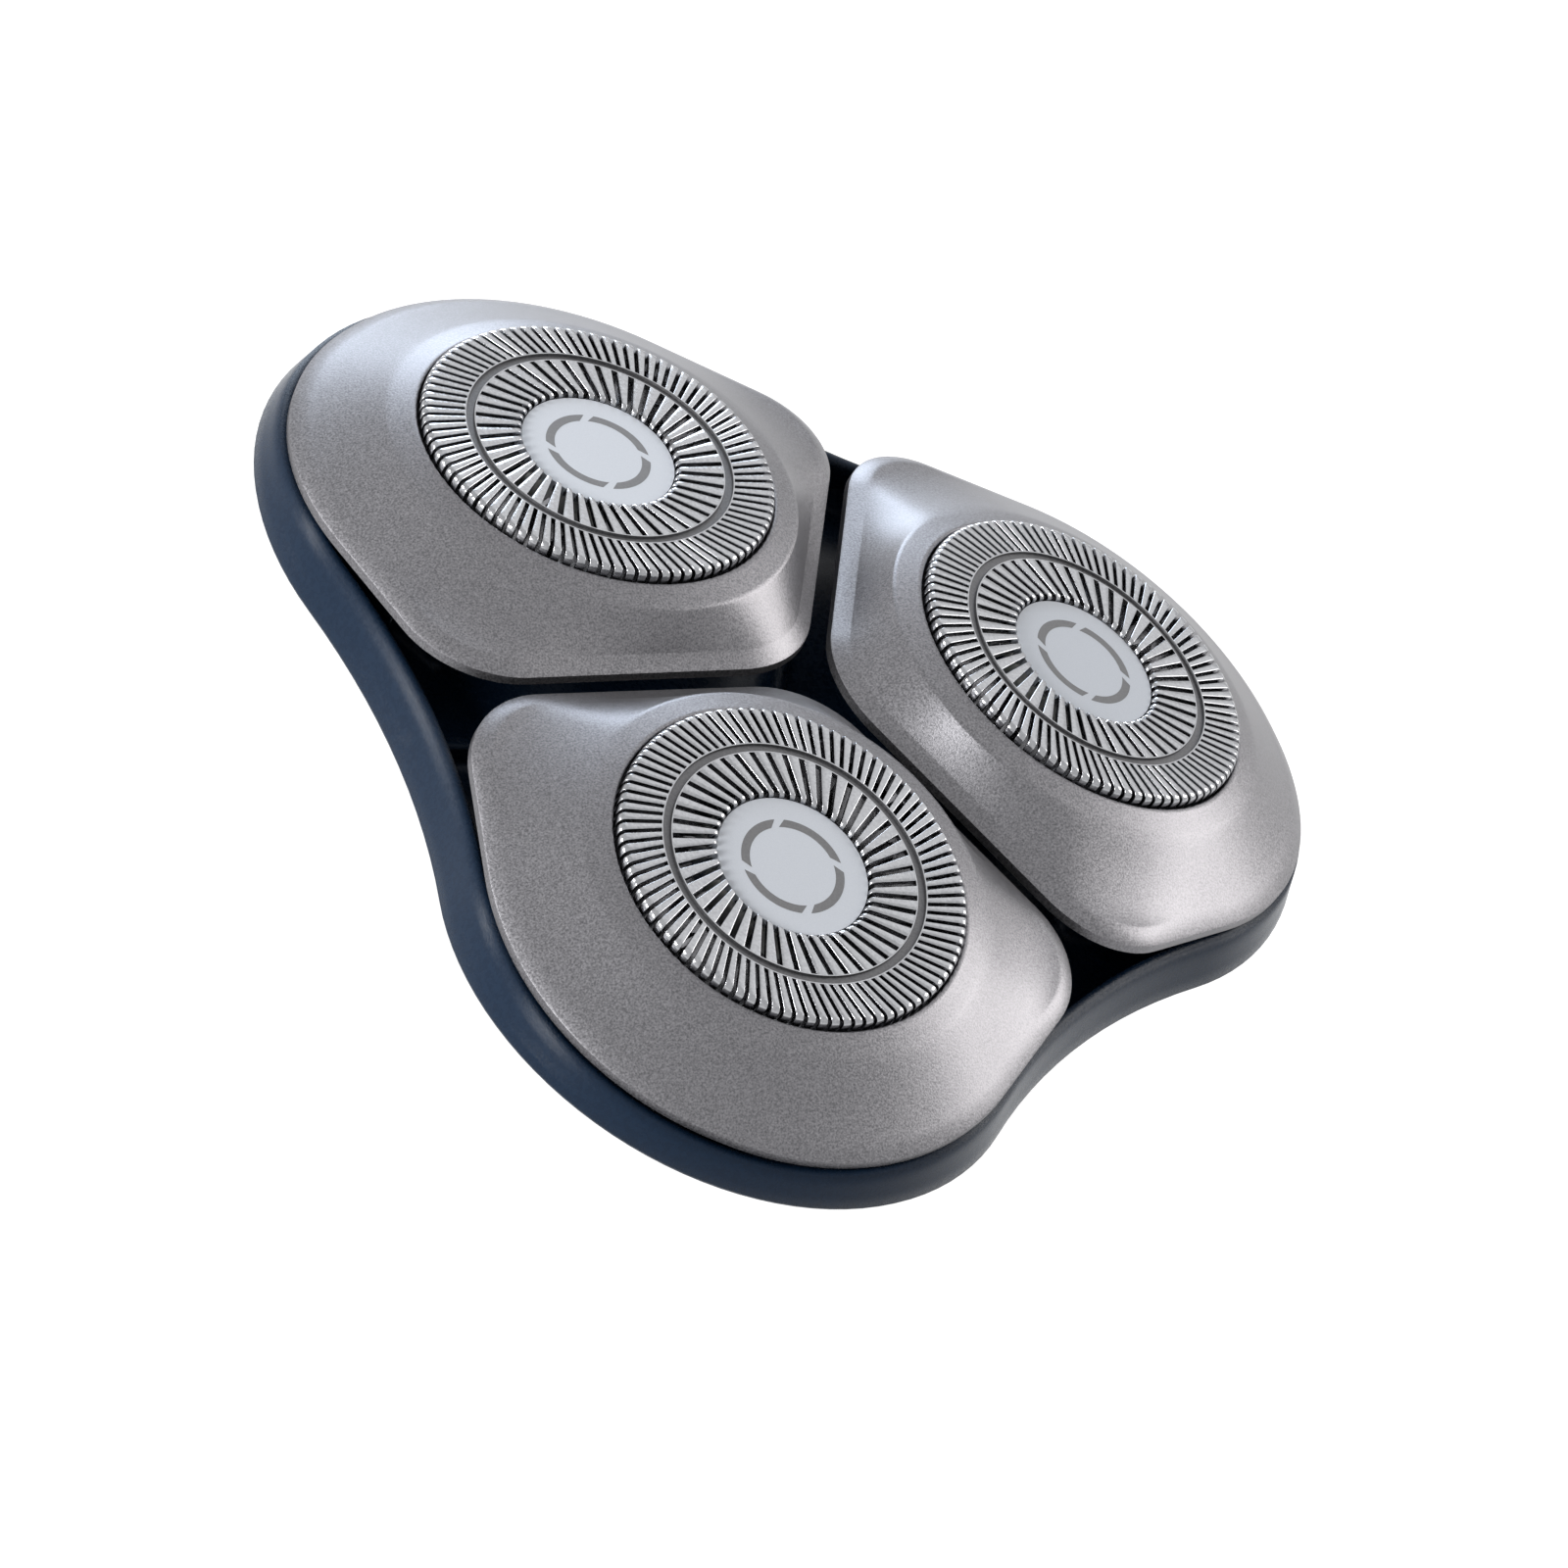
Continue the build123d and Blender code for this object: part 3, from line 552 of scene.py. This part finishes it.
def pod(k, material):
    """Cap of a pod with a bevelled lip, a hollow flank and a sloping collar."""
    grid = Grid()
    columns = [pod_column(point, outward) for point, outward in even_outline(pod_outline(k), POD_SPOKES)]
    grid.strip(columns, closed_rows=True, closed_columns=True)
    piece = new_piece(f"pod_cap_{k}", grid, material)
    smooth_by_angle(piece, POD_CREASE)
    seat(piece, k, "pod", "silver_satin", f"pod_shell_{k}")


def badge_mark(k, material):
    """Plain ring of arcs with slanted gaps, printed on the badge."""
    grid = Grid()
    for part in range(MARK_ARCS):
        start = MARK_TURN[k] + part * 2 * pi / MARK_ARCS + MARK_GAP / 2
        end = MARK_TURN[k] + (part + 1) * 2 * pi / MARK_ARCS - MARK_GAP / 2
        rows = []
        for i in range(MARK_STEPS + 1):
            angle = start + (end - start) * i / MARK_STEPS
            rows.append([polar(MARK_INNER_R, angle + MARK_SLANT / 2, MARK_HEIGHT),
                         polar(MARK_OUTER_R, angle - MARK_SLANT / 2, MARK_HEIGHT)])
        grid.strip(rows)
    piece = new_piece(f"badge_mark_{k}", grid, material)
    seat(piece, k, "guard_unit", "badge_satin")


def coil(axis, low, high):
    """Closed coil of round wire about an upright axis, between two heights."""
    start = atan2(axis.y, axis.x)
    rise = high - low - 2 * SPRING_WIRE_R
    rows = []
    for i in range(SPRING_STEPS + 1):
        share = i / SPRING_STEPS
        middle = low + SPRING_WIRE_R + rise * share
        section = arc((SPRING_MEAN_R, middle), SPRING_WIRE_R, 0, 2 * pi, SPRING_SIDES)[:-1]
        rows.append([axis + polar(radius, start + 2 * pi * SPRING_TURNS * share, height)
                     for radius, height, _, _ in section])
    grid = Grid()
    grid.strip(rows, closed_columns=True)
    grid.faces.append(tuple(reversed(range(SPRING_SIDES))))
    grid.faces.append(tuple(range(SPRING_STEPS * SPRING_SIDES, (SPRING_STEPS + 1) * SPRING_SIDES)))
    return grid


def spring(k, material):
    """Spring between gear and spindle, which rides on the gear."""
    heights = [vertex.co.z for vertex in frame["nodes"][f"spindle_spring_{k}"].data.vertices]
    low, high = min(heights), max(heights)
    axis = Vector(joint(f"gear_spin_{k}")["pos_m"]).to_2d().to_3d()
    piece = new_piece(f"coil_spring_{k}", coil(axis, low, high), material)
    smooth_by_angle(piece, SPRING_CREASE)
    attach(piece, f"gear_{k}")
    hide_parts(f"spindle_spring_{k}")
    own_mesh(piece)


def aim_camera():
    """Camera at the photograph's place."""
    back = -Vector(VIEW_DIRECTION).normalized()
    right = Vector(IMAGE_UP).cross(back).normalized()
    up = back.cross(right)
    data = bpy.data.cameras.new("camera")
    data.lens = LENS
    data.sensor_width = SENSOR_WIDTH
    data.clip_start = NEAREST
    data.clip_end = FARTHEST
    camera = bpy.data.objects.new("camera", data)
    camera.matrix_world = Matrix.Translation(CAMERA_PLACE) @ Matrix((right, up, back)).transposed().to_4x4()
    bpy.context.scene.collection.objects.link(camera)
    bpy.context.scene.camera = camera


def softbox(name, azimuth, elevation, distance, size, radiance, colour=(1, 1, 1)):
    """Rectangular lamp that faces the object, placed by its direction and its brightness."""
    data = bpy.data.lights.new(name, "AREA")
    data.shape = "RECTANGLE"
    data.size, data.size_y = size
    data.energy = radiance * pi * size[0] * size[1]
    data.color = colour
    lamp = bpy.data.objects.new(name, data)
    away = polar(cos(radians(elevation)), radians(azimuth), sin(radians(elevation)))
    lamp.location = away * distance + Vector(LAMP_TARGET)
    lamp.rotation_euler = (-away).to_track_quat("-Z", "Y").to_euler()
    bpy.context.scene.collection.objects.link(lamp)


def seen_directly(tree):
    """One for rays that come from the camera, a gloss or glass, and otherwise none."""
    path = tree.nodes.new("ShaderNodeLightPath")
    value = path.outputs["Is Camera Ray"]
    for kind in ("Is Glossy Ray", "Is Transmission Ray"):
        either = tree.nodes.new("ShaderNodeMath")
        either.operation = "MAXIMUM"
        tree.links.new(value, either.inputs[0])
        tree.links.new(path.outputs[kind], either.inputs[1])
        value = either.outputs["Value"]
    return value


def light_studio():
    """White surroundings that light the object little, and soft lamps behind and beside it."""
    world = bpy.data.worlds.new("studio")
    world.use_nodes = True
    bpy.context.scene.world = world
    tree = world.node_tree
    background = tree.nodes["Background"]
    background.inputs["Color"].default_value = (1, 1, 1, 1)
    strength = tree.nodes.new("ShaderNodeMapRange")
    strength.inputs["To Min"].default_value = WORLD_LIGHT
    strength.inputs["To Max"].default_value = 1.0
    tree.links.new(seen_directly(tree), strength.inputs["Value"])
    tree.links.new(strength.outputs["Result"], background.inputs["Strength"])
    for name, lamp in LAMPS.items():
        softbox(name, **lamp)


def floor_paper():
    """Pale paper that glows for the eye but keeps a soft shadow."""
    material, tree, shader = nodes_new("floor_paper")
    paper = tinted(tree, object_noise(tree, PAPER_GRAIN), PAPER_DARK, PAPER_LIGHT)
    tree.links.new(paper, shader.inputs["Base Color"])
    shader.inputs["Roughness"].default_value = FLOOR_ROUGHNESS
    glow = tree.nodes.new("ShaderNodeEmission")
    glow.inputs["Strength"].default_value = FLOOR_WHITE
    share = tree.nodes.new("ShaderNodeMath")
    share.operation = "MULTIPLY"
    share.inputs[1].default_value = FLOOR_GLOW
    tree.links.new(seen_directly(tree), share.inputs[0])
    mix = tree.nodes.new("ShaderNodeMixShader")
    tree.links.new(share.outputs["Value"], mix.inputs["Fac"])
    tree.links.new(shader.outputs["BSDF"], mix.inputs[1])
    tree.links.new(glow.outputs["Emission"], mix.inputs[2])
    tree.links.new(mix.outputs["Shader"], tree.nodes["Material Output"].inputs["Surface"])
    return material


def lay_floor():
    """Plain floor just under the collar."""
    grid = Grid()
    ends = (-FLOOR_HALF, FLOOR_HALF)
    grid.strip([[Vector((x, y, FLOOR_LEVEL)) for x in ends] for y in ends])
    floor = new_piece("floor", grid, floor_paper())


def main():
    materials = {name: finish_of(name, **finish) for name, finish in FINISHES.items()}
    dress_frame(materials)
    for k in HEADS:
        guard(k, materials["guard_steel"], materials["groove_steel"])
        pod(k, materials["silver_satin"])
        badge_mark(k, materials["mark_print"])
        spring(k, materials["spring_steel"])
    lay_floor()
    light_studio()
    aim_camera()
    bpy.context.scene.view_settings.view_transform = "Standard"


main()
